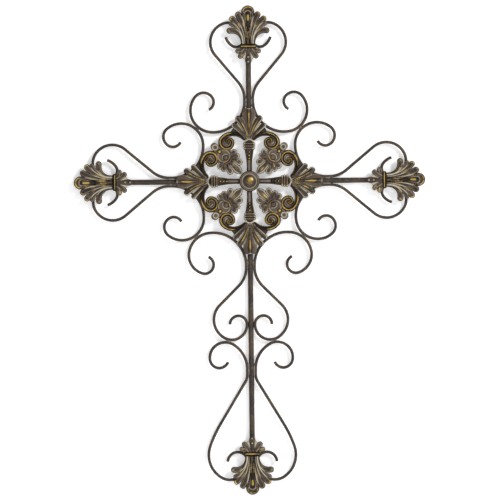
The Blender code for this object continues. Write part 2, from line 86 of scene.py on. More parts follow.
# Scrolls: where the straight neck starts and its length, then bend radius in mm and angle in degrees
ARM_NECK = 150.5 * MM
TOP_NECK_LENGTH = 3 * MM
SIDE_NECK_LENGTH = 5 * MM
ARM_CURL = ((58.4, 97), (40.8, 123), (19.6, 105), (16.2, 98))
ARM_HEART = ((50, 40), (0, 66), (37.4, -103), (29.3, -124), (14.4, -118), (29.5, -39))
KNEE_NECK = 155 * MM
KNEE_NECK_LENGTH = 3.2 * MM
KNEE_CURL = ((61.8, 96), (43.5, 73), (35.3, 84), (16.4, 172))
KNEE_HEART = ((50, 45), (0, 50.2), (38.8, -105), (28.2, -124), (15.8, -177))
FOOT_NECK = 348 * MM
FOOT_NECK_LENGTH = 10 * MM
FOOT_CURL = ((54.5, 58), (28.9, 130), (17.6, 150))
FOOT_HEART = ((25, 31), (0, 94), (215, -12), (49.5, -73), (33, -126), (18.7, -177))

# Castings: a finial's reach beyond the middle of its band, and an acanthus eye's place in mm
FINIAL_LENGTH_OUT = 74.9 * MM
ACANTHUS_EYE = 64
SHARP_ANGLE = math.radians(55)

# Welds: how far a neck's bead starts before it and ends after it, and half a bead where two wires touch
WELD_BEFORE = 11 * MM
WELD_AFTER = 3 * MM
WELD_AT_TOUCH = 4.5 * MM
WELD_OFFSET = BAR_DIAMETER / 2 + 0.5 * MM
WELD_Y = WIRE_Y - 0.9 * MM

# Stage
WALL_Y = 0.6 * MM
SHEET_REACH = 4
WALL_TOP = 3
FLOOR_DROP = 0.45
KEY_PLACE = Vector((3.05, -3.4, 2.2))
KEY_AIM = Vector((0, 0, -0.1))
KEY_SIZE = 1


class CrossStock(bpy.types.PropertyGroup):
    """Bars, wires and welds."""

    bar_sides: IntProperty(name="Bar sides", description="Points round a bar", default=28, min=8)
    wire_sides: IntProperty(name="Wire sides", description="Points round a wire", default=16, min=6)
    step: FloatProperty(name="Step", description="Distance between rings along a wire", default=2.2 * MM,
                        unit="LENGTH")
    dent: FloatProperty(name="Dent", description="How uneven the hammered stock is, as a share of its radius",
                        default=0.03, subtype="FACTOR")
    weld: FloatProperty(name="Weld", description="Half the width of a weld bead", default=1.725 * MM,
                        unit="LENGTH")


class CrossCasting(bpy.types.PropertyGroup):
    """The rosette and the finials."""

    rosette_grid: FloatProperty(name="Rosette grid", description="Grid of the rosette's relief",
                                default=0.8 * MM, unit="LENGTH")
    finial_grid: FloatProperty(name="Finial grid", description="Grid of a finial's relief",
                               default=0.55 * MM, unit="LENGTH")
    grain: FloatProperty(name="Grain", description="Depth of the sand-cast unevenness",
                         default=0.12 * MM, unit="LENGTH")


class CrossFinish(bpy.types.PropertyGroup):
    """Colours of the finish."""

    iron: FloatVectorProperty(name="Iron", description="Dark brown of the bars and wires", subtype="COLOR",
                              default=(0.052, 0.04, 0.034))
    umber: FloatVectorProperty(name="Umber", description="Warm patches of the bars and wires",
                               subtype="COLOR", default=(0.12, 0.085, 0.048))
    worn: FloatVectorProperty(name="Worn", description="Rubbed streaks on the bars and wires",
                              subtype="COLOR", default=(0.18, 0.15, 0.114))
    bronze: FloatVectorProperty(name="Bronze", description="Dark ground of the castings", subtype="COLOR",
                                default=(0.017, 0.011, 0.007))
    brown: FloatVectorProperty(name="Brown", description="Brown body of the castings", subtype="COLOR",
                               default=(0.155, 0.115, 0.083))
    patina: FloatVectorProperty(name="Patina", description="Pale patina in the hollows", subtype="COLOR",
                                default=(0.5, 0.46, 0.345))
    gold: FloatVectorProperty(name="Gold", description="Rubbed gold on the ridges", subtype="COLOR",
                              default=(0.6, 0.4, 0.1))
    weld: FloatVectorProperty(name="Weld", description="Pale grey of the welds", subtype="COLOR",
                              default=(0.26, 0.25, 0.21))


class CrossStage(bpy.types.PropertyGroup):
    """Wall, floor, lights and camera."""

    distance: FloatProperty(name="Distance", description="Camera to wall", default=6, unit="LENGTH")
    width: FloatProperty(name="Width", description="Width of the view on the wall", default=0.936,
                         unit="LENGTH")
    left: FloatProperty(name="Left", description="How far the middle of the cross is left of the view's",
                        default=0.94 * MM, unit="LENGTH")
    above: FloatProperty(name="Above", description="How far the middle of the cross is above the view's",
                         default=128.6 * MM, unit="LENGTH")
    roll: FloatProperty(name="Roll", description="Turn of the camera about its own line of sight",
                        default=math.radians(-0.6), subtype="ANGLE")
    key: FloatProperty(name="Key light", description="Power of the key light", default=140, unit="POWER")
    fill: FloatProperty(name="Fill light", description="Strength of the light all round", default=0.35)
    glow: FloatProperty(name="Glow", description="How brightly the backdrop is lit from behind", default=0.41)
    wall: FloatVectorProperty(name="Wall", description="Colour of the wall and the floor", subtype="COLOR",
                              default=(0.92, 0.92, 0.92))


def bent_path(start, heading, bends, step):
    """Points along straights and arcs that follow on smoothly, in metres.

    A bend is (radius in mm, angle), where a positive angle turns from u towards v, and a straight is
    (0, length in mm). An arc's points are its centre plus its radius at evenly spaced angles.
    """
    pieces = [np.array([start], float)]
    angle = math.radians(heading)
    for radius, amount in bends:
        point = pieces[-1][-1]
        if radius == 0:
            length = amount * MM
            share = np.linspace(0, 1, max(2, math.ceil(length / step) + 1))[1:, None]
            pieces.append(point + share * length * np.array((math.cos(angle), math.sin(angle))))
            continue
        turn = math.radians(amount)
        side = math.copysign(radius * MM, turn)
        count = max(2, math.ceil(abs(turn * side) / step) + 1)
        now = angle + turn * np.linspace(0, 1, count)[1:]
        centre = point + side * np.array((-math.sin(angle), math.cos(angle)))
        pieces.append(centre - side * np.stack([-np.sin(now), np.cos(now)], 1))
        angle += turn
    return np.concatenate(pieces)


def scroll_path(neck, length, curl, heart, step):
    """A whole scroll: the curl bends back from the neck, the heart sweeps out from it and curls in."""
    back = bent_path((neck, NECK_OFFSET), 180, [(radius, -angle) for radius, angle in curl], step)
    return np.concatenate([back[::-1], bent_path((neck + length, NECK_OFFSET), 0, heart, step)])


def to_runs(points, starts, ends):
    """Each point against each straight run: the runs, the offsets from their starts, the share of the run
    where it comes nearest to the point, and the distance there.
    """
    runs = ends - starts
    offsets = points[:, None] - starts
    share = np.clip((offsets * runs).sum(-1) / np.maximum((runs * runs).sum(-1), 1e-12), 0, 1)
    feet = offsets - share[..., None] * runs
    return runs, offsets, share, np.sqrt((feet * feet).sum(-1))


def gap_between(path, other):
    """The least distance from the points of one path to the straight pieces of another."""
    return to_runs(path, other[:-1], other[1:])[3].min()


def slide_to_kiss(path, other, clearance, reach=60 * MM):
    """How far to move a path out along its arm so that it just touches the other, by halving."""
    near = -reach
    far = reach
    while far - near > 0.01 * MM:
        middle = (near + far) / 2
        if gap_between(path + (middle, 0), other) < clearance:
            near = middle
        else:
            far = middle
    return far


def all_scrolls(step):
    """The four kinds of scroll, each slid along its bar until it touches its neighbour."""
    clearance = WIRE_DIAMETER + TOUCH
    top = scroll_path(ARM_NECK, TOP_NECK_LENGTH, ARM_CURL, ARM_HEART, step)
    beside = scroll_path(ARM_NECK, SIDE_NECK_LENGTH, ARM_CURL, ARM_HEART, step)
    beside[:, 0] += slide_to_kiss(beside, top[:, ::-1], clearance)
    knee = scroll_path(KNEE_NECK, KNEE_NECK_LENGTH, KNEE_CURL, KNEE_HEART, step)
    knee[:, 0] += slide_to_kiss(knee, beside[:, ::-1], clearance)
    foot = scroll_path(FOOT_NECK, FOOT_NECK_LENGTH, FOOT_CURL, FOOT_HEART, step)
    foot[:, 0] += slide_to_kiss(foot, knee, clearance)
    return top, beside, knee, foot


def on_arm(points, arm, side=1):
    """Turn (u, v) points on to an arm, as (x, z), with v on its left (side 1) or right (side -1)."""
    angle = math.radians(ARMS[arm])
    out = np.array((math.cos(angle), math.sin(angle)))
    across = np.array((-math.sin(angle), math.cos(angle))) * side
    return points[:, :1] * out + points[:, 1:] * across


def new_piece(name, points, faces, material, slot, *nodes):
    """Put a closed mesh in the scene, riding on the cross, in place of the model's own nodes."""
    mesh = bpy.data.meshes.new(name)
    mesh.from_pydata(points.tolist(), [], faces)
    mesh.validate()
    mesh.shade_smooth()
    mesh.set_sharp_from_angle(angle=SHARP_ANGLE)
    mesh.materials.append(material)
    piece = bpy.data.objects.new(name, mesh)
    bpy.context.scene.collection.objects.link(piece)
    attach(piece, "root")
    if nodes:
        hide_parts(*nodes)
    return piece


def ring_faces(rings, sides, first=0):
    """Quads between rings of points, and a flat face over each end."""
    start = first + sides * np.arange(rings - 1)[:, None]
    here = np.arange(sides)
    beside = (here + 1) % sides
    quads = np.stack([start + here, start + beside, start + sides + beside, start + sides + here], -1)
    faces = quads.reshape(-1, 4).tolist()
    faces.append((first + here[::-1]).tolist())
    faces.append((first + sides * (rings - 1) + here).tolist())
    return faces


def directions(flat_path):
    """The direction ahead at each point of a flat path."""
    ahead = np.gradient(flat_path, axis=0)
    return ahead / np.linalg.norm(ahead, axis=1)[:, None]


def round_skin(flat_path, ahead, depth, size, angle):
    """Points and faces of a round bar along a flat (x, z) path at a depth y.

    Ring k is size * (cos a * across + sin a * back) about the path's point k.
    """
    across = np.stack([-ahead[:, 1], ahead[:, 0]], 1)
    spread = size * np.cos(angle)
    points = np.stack([flat_path[:, :1] + across[:, :1] * spread, depth - size * np.sin(angle),
                       flat_path[:, 1:] + across[:, 1:] * spread], -1)
    return points.reshape(-1, 3), ring_faces(len(flat_path), len(angle))


def tube(flat_path, depth, radius, sides, dent, phase):
    """A bar or a wire. The radius is uneven by a sum of slow sine waves along the path and round it, and
    shrinks over the last ring at each end, which gives a filed edge.
    """
    length = np.concatenate([[0], np.cumsum(np.linalg.norm(np.diff(flat_path, axis=0), axis=1))])
    inset = radius * 0.22
    ahead = directions(flat_path)
    path = np.concatenate([flat_path[:1], flat_path[:1] + ahead[:1] * inset, flat_path[1:-1],
                           flat_path[-1:] - ahead[-1:] * inset, flat_path[-1:]])
    length = np.concatenate([[0, inset], length[1:-1], [length[-1] - inset, length[-1]]])
    ahead = np.concatenate([ahead[:1], ahead, ahead[-1:]])
    angle = math.tau * np.arange(sides) / sides
    wave = (np.sin(length[:, None] / (7.3 * MM) + phase + 2 * np.cos(angle))
            + np.sin(length[:, None] / (18.1 * MM) + 2.3 * phase + np.sin(2 * angle)))
    size = radius * (1 + dent * wave / 2)
    size[[0, -1]] *= 0.8
    return round_skin(path, ahead, depth, size, angle)


def weld_run(flat_path, depth, radius, phase, sides=14):
    """A run of weld metal: the radius is radius * (1 - t^4)^(1/2) from end to end, with t from -1 to 1,
    and a row of overlapping ripples lies along it.
    """
    t = np.linspace(-0.985, 0.985, len(flat_path))[:, None]
    angle = math.tau * np.arange(sides) / sides
    ripple = 0.09 * np.abs(np.sin(t * 9 + phase)) + 0.06 * np.sin(2 * angle + 5 * t + phase)
    size = radius * np.sqrt(1 - t ** 4) * (1 + ripple)
    return round_skin(flat_path, directions(flat_path), depth, size, angle)


def smooth_step(low, high, value):
    """0 below low, 1 above high, and 3 t^2 - 2 t^3 between."""
    share = np.clip((value - low) / (high - low), 0, 1)
    return share * share * (3 - 2 * share)


def bump(value, middle, width):
    """A bell of height 1 about the middle: exp of minus the square of the distance over the width."""
    return np.exp(-(((value - middle) / width) ** 2))


def mm(*values):
    """Numbers or points in mm, as an array in metres."""
    return np.array(values, float) * MM


def marked(mark, *place):
    """A mark at some places: it is one number everywhere, or a function of the place."""
    return mark(*place) if callable(mark) else np.full(place[0].shape, float(mark))


def dome(edge, power=2):
    """A cross-section that is 1 in the middle and falls to the edge's share, as (1 - |x|^power)^(1/2)."""
    return lambda x, along: edge + (1 - edge) * np.sqrt(np.clip(1 - np.abs(x) ** power, 0, 1))


def spoon(edge, trough):
    """A dome with a trough along its middle, which fades out before the round end."""
    round_top = dome(edge, 2.6)
    return lambda x, along: round_top(x, along) - trough * bump(x, 0, 0.34) * (1 - smooth_step(0.7, 1, along))


class Relief:
    """A cast relief, as heights over a square grid.

    inside says how far within the outline a point lies, height is its height, and pale and gold are
    the painted marks, from 0 to 1. crest and rival are the highest and the second highest of the leaves
    laid there, and valley is how pale the line is where those two meet; a negative valley paints shade
    there instead. Each is a grid, and a stroke changes all the points near it at once.
    """

    def __init__(self, low, high, step, fold):
        sides = [np.arange(a, b + step / 2, step) for a, b in zip(low, high)]
        self.step = step
        self.at = np.stack(np.meshgrid(*sides, indexing="ij"), -1)
        self.look = fold(self.at)
        shape = self.at.shape[:2]
        self.inside = np.full(shape, -4 * step)
        self.breadth = np.full(shape, MM)
        self.height, self.pale, self.gold, self.crest, self.rival, self.valley = np.zeros((6, *shape))

    def turned_look(self, turn):
        """The points as an arm turned by an angle sees them."""
        cosine, sine = math.cos(math.radians(turn)), math.sin(math.radians(turn))
        u, v = self.look[..., 0], self.look[..., 1]
        return np.stack([u * cosine + v * sine, v * cosine - u * sine], -1)

    def lay(self, near, inside, height, over, pale, gold, breadth=None, valley=0.0):
        """Lay a shape on the points it is near: on top of them, or wherever it is the higher."""
        self.inside[near] = np.maximum(self.inside[near], inside)
        wins = (inside > 0) & (over | (height > self.height[near]))
        if breadth is not None:
            crest, rival = self.crest[near], self.rival[near]
            second = np.where(over, 0, np.maximum(rival, np.minimum(height, crest)))
            self.rival[near] = np.where(inside > 0, second, rival)
            self.crest[near] = np.where(wins, height, crest)
            self.breadth[near] = np.where(wins, breadth, self.breadth[near])
        grids = ((self.height, height), (self.pale, pale), (self.gold, gold), (self.valley, valley))
        for grid, value in grids:
            grid[near] = np.where(wins, value, grid[near])

    def stroke(self, path, widths, heights, section, over=False, pale=0.0, gold=0.0, turn=0, valley=0.0,
               flat_end=False):
        """A ridge along a path, in metres: at a point, x is the distance from the path over the half
        width there, negative on the right, and along runs from 0 to 1. The path's piece is the one that
        the point lies deepest in, so that both ends are round, or the far end is cut off flat.
        """
        look = self.turned_look(turn)
        reach = widths.max() + 3 * self.step
        near = ((look > path.min(0) - reach) & (look < path.max(0) + reach)).all(-1)
        spots = look[near]
        runs, offsets, share, distance = to_runs(spots, path[:-1], path[1:])
        width = widths[:-1] + share * np.diff(widths)
        row = np.arange(len(spots))
        best = (distance - width).argmin(1)
        side = np.sign(runs[best, 0] * offsets[row, best, 1] - runs[best, 1] * offsets[row, best, 0])
        distance, width = distance[row, best], width[row, best]
        along = (best + share[row, best]) / len(runs)
        x = np.clip(side * distance / width, -1, 1)
        tall = np.interp(along, np.linspace(0, 1, len(heights)), heights)
        inside = width - distance
        if flat_end:
            last = runs[-1] / np.sqrt((runs[-1] ** 2).sum())
            inside = np.minimum(inside, -((spots - path[-1]) * last).sum(-1))
        self.lay(near, inside, tall * section(x, along), over, marked(pale, x, along), marked(gold, x, along),
                 width, valley)

    def web(self, outline, height, pale=0.0, turn=0):
        """A low flat web inside a closed outline: a point is in where a line from it crosses the outline
        an odd number of times, and inside is its distance to the nearest side.
        """
        look = self.turned_look(turn)
        near = ((look > outline.min(0) - self.step) & (look < outline.max(0) + self.step)).all(-1)
        level = look[near][:, 1:]
        ends = np.roll(outline, -1, 0)
        runs, offsets, _, distance = to_runs(look[near], outline, ends)
        spans = (outline[:, 1] > level) != (ends[:, 1] > level)
        crossing = offsets[..., 0] < runs[:, 0] * offsets[..., 1] / np.where(runs[:, 1] == 0, 1, runs[:, 1])
        within = (spans & crossing).sum(1) % 2 == 1
        flat = np.full(len(within), height)
        self.lay(near, np.where(within, 1, -1) * distance.min(1), flat, False, 0 * flat + pale, 0 * flat)

    def turned(self, centre, radii, heights, pale=0.0, gold=0.0, turn=0):
        """A round boss, in mm: the height is read off a profile by the distance from the centre.

        A mark is given that distance, and the cosine of the direction from the centre.
        """
        radii = mm(*radii)
        look = self.turned_look(turn) - mm(*centre)
        distance = np.sqrt((look * look).sum(-1))
        near = distance < radii[-1] + 3 * self.step
        lean = look[near][:, 0] / np.maximum(distance[near], 1e-9)
        distance = distance[near]
        marks = [marked(mark, distance / MM, lean) for mark in (pale, gold)]
        self.lay(near, radii[-1] - distance, np.interp(distance, radii, mm(*heights)), True, *marks)

    def blurred(self, grid, spread):
        """The grid averaged with a bell as wide as the spread, over the points inside alone."""
        reach = max(1, math.ceil(2.5 * spread / self.step))
        bell = bump(np.arange(-reach, reach + 1) * self.step, 0, spread)
        inside = (self.inside > 0).astype(float)
        total = []
        for values in (grid * inside, inside):
            for axis in (0, 1):
                values = sum(weight * np.roll(values, shift, axis)
                             for shift, weight in zip(range(-reach, reach + 1), bell))
            total.append(values)
        return total[0] / np.maximum(total[1], 1e-9)

    def hollows(self, spread, depth):
        """How far each point lies below its surroundings, over a depth, from -1 to 1."""
        return np.clip((self.blurred(self.height, spread) - self.height) / depth, -1, 1)

    def mesh(self, place):
        """Points, faces and marks of the closed relief.

        A cell is kept where its four corners are inside, and a cell is added where two meet at a corner
        only. Points on the rim of the kept cells move out to the true outline, down the slope of inside.
        The back is the same cells at h = 0, and a wall of quads joins the two rims.
        """
        held = self.inside > 0
        keep = held[:-1, :-1] & held[1:, :-1] & held[:-1, 1:] & held[1:, 1:]
        for _ in range(3):
            one, two, three, four = keep[:-1, :-1], keep[1:, :-1], keep[:-1, 1:], keep[1:, 1:]
            bridge = (one & four & ~two & ~three) | (two & three & ~one & ~four)
            keep[1:, :-1] |= bridge & one
            keep[:-1, :-1] |= bridge & ~one
        pad = np.pad(keep, 1)
        around = sum(pad[i:i + held.shape[0], j:j + held.shape[1]].astype(int)
                     for i in (0, 1) for j in (0, 1))
        used = around > 0
        rim = used & (around < 4)
        slope = np.stack(np.gradient(self.inside, self.step), -1)
        steep = np.maximum((slope * slope).sum(-1), 0.3)
        shift = slope * (self.inside / steep)[..., None]
        size = np.sqrt((shift * shift).sum(-1))
        shift *= np.minimum(1, 0.8 * self.step / np.maximum(size, 1e-9))[..., None]
        at = np.where(rim[..., None], self.at - shift, self.at)
        number = np.full(held.shape, -1)
        number[used] = np.arange(used.sum())
        count = int(used.sum())
        corner = [number[:-1, :-1], number[1:, :-1], number[1:, 1:], number[:-1, 1:]]
        front = np.stack([c[keep] for c in corner], -1)
        walls = []
        beside = {0: pad[1:-1, :-2], 1: pad[2:, 1:-1], 2: pad[1:-1, 2:], 3: pad[:-2, 1:-1]}
        for i, other in beside.items():
            edge = keep & ~other
            one, two = corner[i][edge], corner[(i + 1) % 4][edge]
            walls.append(np.stack([two, one, one + count, two + count], -1))
        faces = np.concatenate([front, front[:, ::-1] + count] + walls)
        flat = at[used]
        top = np.concatenate([flat, self.height[used][:, None]], 1)
        under = np.concatenate([flat, np.zeros((count, 1))], 1)
        marks = {name: np.concatenate([grid[used], np.zeros(count)]) for name, grid in
                 (("pale", self.pale), ("gold", self.gold))}
        return place(np.concatenate([top, under])), faces.tolist(), marks


def leaf(start, heading, bends, root, tip, reach=0):
    """A leaf's spine and its half widths, which grow evenly from root to tip, all given in mm.

    With a reach, the spine runs straight to it.
    """
    path = bent_path(mm(*start), heading, bends or [(0, reach)], 1.6 * MM)
    return path, np.linspace(root, tip, len(path)) * MM


def rising(root, tip):
    """Heights from a root to a tip, in mm, that rise fast at first."""
    return (root + (tip - root) * np.linspace(0, 1, 9) ** 0.7) * MM


def straight(start, end, count):
    """Points along an arm's middle line, from and to a place in mm."""
    return np.stack([np.linspace(start, end, count), np.zeros(count)], 1) * MM


def web_between(one, two, share=1):
    """The outline of the web between two leaves: up one spine, and back down the other."""
    return np.concatenate([one[:int(len(one) * share)], two[:int(len(two) * share)][::-1]])


def body_marks(body, rim, start=0.72):
    """A brown body that darkens or pales towards both edges of a leaf."""
    return lambda x, along: body + (rim - body) * smooth_step(start, 0.98, np.abs(x))


def flute_marks(body):
    """A leaf's body with a pale line along both sides, which begins beyond the root."""
    return lambda x, along: (body + 0.45 * bump(np.abs(x), 0.62, 0.13) * smooth_step(0.3, 0.6, along)
                             - 0.1 * np.abs(x))


def rib_marks(strength, width, low, high, middle=0.0):
    """Rubbed gold along a leaf, between two shares of its length."""
    return lambda x, along: (strength * bump(x, middle, width) * smooth_step(low - 0.1, low + 0.1, along)
                             * (1 - smooth_step(high - 0.05, high + 0.1, along)))


def gold_arc(relief, centre, radius, low, high, width, strength, height=7.4):
    """A short gold ridge along an arc about a centre, between two angles from the arm's direction."""
    start = np.array(centre) + radius * np.array((math.cos(math.radians(low)), math.sin(math.radians(low))))
    path = bent_path(start * MM, low + 90, [(radius, high - low)], 0.8 * MM)
    relief.stroke(path, np.full(len(path), width * MM), mm(height, height), dome(0.9), pale=0.2,
                  gold=strength)


def finial_relief(step):
    """The palmette of a finial, from its outer leaves to the crown, then the drop below the band."""
    relief = Relief(mm(-42, -52), mm(78, 52), step, lambda at: np.stack([at[..., 0], np.abs(at[..., 1])], -1))
    crown = leaf((0, 0), 0, None, 2.8, 12.4, reach=62.4)
    inner = leaf((0, 4.8), 0, [(0, 5), (112, 28)], 2.2, 6)
    middle = leaf((0, 7.8), 0, [(0, 4), (60, 50)], 2.2, 5.7)
    short = leaf((0, 9.6), 0, [(0, 6), (38, 66)], 2, 4.2)
    outer = leaf((0, 10.6), 2, [(0, 8), (20.8, 96)], 2.4, 5.8)
    fan = (outer, short, middle, inner, crown)
    for one, two in zip(fan, fan[1:]):
        relief.web(web_between(one[0], two[0], 0.97), 3.4 * MM, 1.2)
    for side_leaf, high, body in zip(fan, (6.8, 5.8, 7, 7), (0.22, 0.28, 0.24, 0.22)):
        relief.stroke(*side_leaf, rising(4.6, high), dome(0.3, 2.2), valley=1.1, pale=flute_marks(body),
                      gold=rib_marks(0.5, 0.24, 0.2, 0.75, -0.2))
    gold_arc(relief, (57.3, 18), 3.4, 30, 120, 0.9, 0.7)
    gold_arc(relief, (49.6, 29), 3.6, 15, 110, 1, 0.9)
    gold_arc(relief, (29.5, 33.4), 3, 100, 160, 1.1, 0.6, 7)
    relief.stroke(*crown, rising(4.8, 7.2), lambda x, along: 0.35 + 0.65 * np.sqrt(1 - np.abs(x) ** 2.6)
                  - 0.2 * bump(np.abs(x), 0.56, 0.1) * smooth_step(0.5, 0.8, along), valley=1,
                  pale=lambda x, along: 0.22
                  + 0.3 * bump(np.abs(x), 0.6, 0.12) * smooth_step(0.5, 0.7, along))
    gold_arc(relief, (62.4, 0), 9.2, 10, 80, 1.1, 0.72)
    relief.stroke(*leaf((30, 0), 0, None, 3.4, 7.2, reach=29), rising(5, 5.2),
                  lambda x, along: 1 - 0.2 * smooth_step(0.75, 1, np.abs(x)), over=True,
                  pale=lambda x, along: 0.25 + 0.75 * smooth_step(0.64, 0.8, np.abs(x))
                  * smooth_step(0.3, 0.7, along))
    relief.stroke(*leaf((30, 0), 0, None, 1.4, 4.8, reach=31.6), rising(6, 6.8), dome(0.7), over=True,
                  flat_end=True, pale=lambda x, along: 0.12 - 0.12 * smooth_step(0.9, 1, along),
                  gold=rib_marks(0.95, 0.36, 0.5, 0.86, 0.2))
    for offset, rub in ((2.8, 0.85), (6, 0.5)):
        ridge = leaf((3, offset * 0.5), 0, [(300, 2 + offset * 0.7), (0, 4 * offset)], 0.7, 1)
        relief.stroke(*ridge, rising(6, 7.2), dome(0.5), gold=rib_marks(rub, 0.9, 0.3, 0.95), valley=0.6)
    upper = leaf((-2.5, 8), 150, [(16.5, -50)], 3, 4.8)
    lower = leaf((-2.5, 4.4), 168, [(31, -38)], 2.8, 5)
    drop = bent_path(mm(-2.5, 0), 180, [(0, 29.5)], 1.6 * MM)
    slim = np.interp(np.linspace(0, 1, len(drop)), (0, 0.4, 0.76, 1), mm(3, 4.6, 6.8, 5))
    relief.web(web_between(upper[0], lower[0]), 3.4 * MM, 1.1)
    relief.web(web_between(lower[0], drop), 3.4 * MM, 1.1)
    relief.stroke(drop, slim, rising(4.8, 4.4), dome(0.4, 2.4), pale=body_marks(0.24, 0.05), valley=1)
    for side_leaf, rub in ((upper, 0.7), (lower, 0.35)):
        relief.stroke(*side_leaf, rising(4.6, 6.6), spoon(0.3, 0.15), pale=flute_marks(0.3), valley=1,
                      gold=rib_marks(rub, 0.5, 0.7, 1.2, 0.2))
    for u, radius in ((-21.7, 2.7), (-30.5, 2.9)):
        relief.turned((u, 0), (0, 0.5 * radius, 0.8 * radius, radius), (6.6, 6.2, 5.4, 4.2),
                      pale=lambda r, lean: 0.72 - 0.6 * smooth_step(1.4, 2.4, r))
    relief.stroke(mm((-1.2, -12.3), (-1.2, 12.3)), mm(3.9, 3.9), mm(8.3, 8.3),
                  lambda x, along: 0.5 + 0.5 * np.sqrt(1 - x * x) - 0.35 * bump(x, -0.35, 0.2), over=True,
                  pale=lambda x, along: 0.1 + 0.5 * bump(x, 0.1, 0.2),
                  gold=lambda x, along: 0.85 * bump(x, 0.15, 0.26))
    return relief


def fold_to_arm(at):
    """Where a point falls when the four arms, and the two halves of each, are laid on one another."""
    angle = np.arctan2(at[..., 1], at[..., 0])
    distance = np.sqrt((at * at).sum(-1))
    angle = np.abs((angle + math.pi / 4) % (math.pi / 2) - math.pi / 4)
    return np.stack([distance * np.cos(angle), distance * np.sin(angle)], -1)


def acanthus(relief):
    """The veined leaf between two spokes: lobes round an eye, a gold bead and a tongue."""
    eye = ACANTHUS_EYE
    relief.turned((eye + 3, 0), (0, 11, 13, 15, 17), (4.6, 5, 4.4, 4.8, 3.8), turn=45,
                  pale=lambda r, lean: 0.4 + 0.4 * bump(r, 11.4, 0.9) - 0.3 * bump(r, 13, 0.8))
    relief.stroke(*leaf((eye + 8, 0), 0, None, 8, 7, reach=84.4 - eye), rising(4.6, 5.2), dome(0.6, 2.6),
                  turn=45, pale=body_marks(0.25, 0.7, 0.5))
    tip = straight(eye - 8, 23.4, 18)
    slim = np.interp(tip[:, 0], mm(23.4, 27, 31, 38, 56), mm(3.6, 6, 8, 7.2, 4))
    lobes = [(mm((61, -5), (58.6, -18.4)), mm(3.6, 6.2)), (mm((57, -4), (49.8, -16.6)), mm(3.6, 6.2)),
             (mm((54, -3), (45, -10), (38.8, -12)), mm(3.6, 5.1, 6.6)), (tip, slim)]
    for one, two in zip(lobes, lobes[1:]):
        relief.web(web_between(one[0], two[0]), 3.6 * MM, 0.1, turn=45)
    for lobe in lobes:
        # valley=-0.5 paints shade: dark lines where the lobes meet.
        relief.stroke(*lobe, rising(4.8, 5.8), lambda x, along: 0.5 + 0.4 * np.sqrt(1 - np.abs(x) ** 2.4)
                      + 0.12 * bump(x, 0, 0.2) * smooth_step(0, 0.4, along), turn=45, valley=-0.5,
                      pale=lambda x, along: 0.26
                      + 0.8 * bump(np.abs(x), 0.68, 0.12) * smooth_step(0.1, 0.4, along)
                      + 0.4 * bump(x, -0.35, 0.12) * smooth_step(0, 0.2, along)
                      * (1 - smooth_step(0.5, 0.8, along)),
                      gold=rib_marks(0.6, 0.16, 0.3, 0.8, 0.15))
    relief.turned((eye - 1.6, 0), (0, 3, 4.2, 5, 6.2, 7.6), (7, 6.6, 5.8, 5, 6.8, 5), turn=45,
                  pale=lambda r, lean: 0.36 + 0.55 * bump(r, 6.4, 1.2) * smooth_step(-0.2, 0.6, lean)
                  - 0.4 * bump(r, 4.8, 0.7),
                  gold=lambda r, lean: 0.3 * bump(r, 0, 2)
                  + bump(r, 6.3, 0.9) * (1 - smooth_step(-0.8, 0, lean)))
    relief.turned((90, 0), (0, 3, 4, 5.2, 6), (4.6, 4.6, 5, 5.6, 5), turn=45,
                  pale=lambda r, lean: 0.35 + 0.65 * bump(r, 4.6, 1))
    relief.turned((78.5, 0), (0, 1.8, 2.9, 3.6, 4.4), (8, 7.4, 5.8, 4.6, 4.6), turn=45,
                  pale=lambda r, lean: 0.6 * smooth_step(3.6, 4.4, r),
                  gold=lambda r, lean: 1.2 * (1 - smooth_step(2, 2.8, r)))


def palm(relief):
    """The palm at the end of a spoke: a bell-shaped leaf between two pairs of slim ones."""
    outer = leaf((76, 1.6), 38, [(220, 10)], 2.4, 5.2)
    inner = leaf((75.4, 1.5), 9, [(88, 30)], 2.2, 6)
    path = straight(75.4, 136.4, 40)
    widths = np.interp(path[:, 0], mm(75.4, 84, 97, 110, 118, 123, 127, 136.4),
                       mm(1.8, 2.4, 4.4, 7.7, 11.2, 13.2, 12.8, 10.2))
    relief.web(web_between(outer[0], inner[0], 0.92), 3 * MM, 1.1)
    relief.web(web_between(inner[0], path[:32], 0.97), 3 * MM, 1.1)
    # Painted shade: each of the three strokes below lowers pale in a streak beside its gold ridge, which
    # paints it dark.
    relief.stroke(*outer, rising(4.8, 7), dome(0.3, 2.2), valley=1, gold=rib_marks(0.4, 0.2, 0.3, 0.8),
                  pale=lambda x, along: 0.28 - 0.2 * bump(x, -0.3, 0.2)
                  + 0.85 * bump(x, 0.66, 0.14) * smooth_step(0.3, 0.6, along))
    relief.stroke(*inner, rising(4.8, 7.2), dome(0.3, 2.2), valley=1,
                  gold=rib_marks(0.9, 0.22, 0.15, 0.85, -0.1),
                  pale=lambda x, along: 0.24 - 0.25 * bump(x, 0.3, 0.16)
                  + 0.85 * bump(x, 0.74, 0.12) * smooth_step(0.2, 0.5, along))
    relief.stroke(path, widths, rising(5.2, 7.8), lambda x, along: 0.3 + 0.55 * np.sqrt(1 - np.abs(x) ** 2.4)
                  + 0.15 * bump(x, 0, 0.1), flat_end=True, valley=0.9, gold=rib_marks(0.9, 0.14, 0.08, 0.84),
                  pale=lambda x, along: 0.3 - 0.2 * bump(np.abs(x), 0.26, 0.1)
                  + 0.6 * bump(np.abs(x), 0.9, 0.07) * (1 - smooth_step(0.7, 0.9, along))
                  + 0.7 * smooth_step(0.962, 0.975, along))


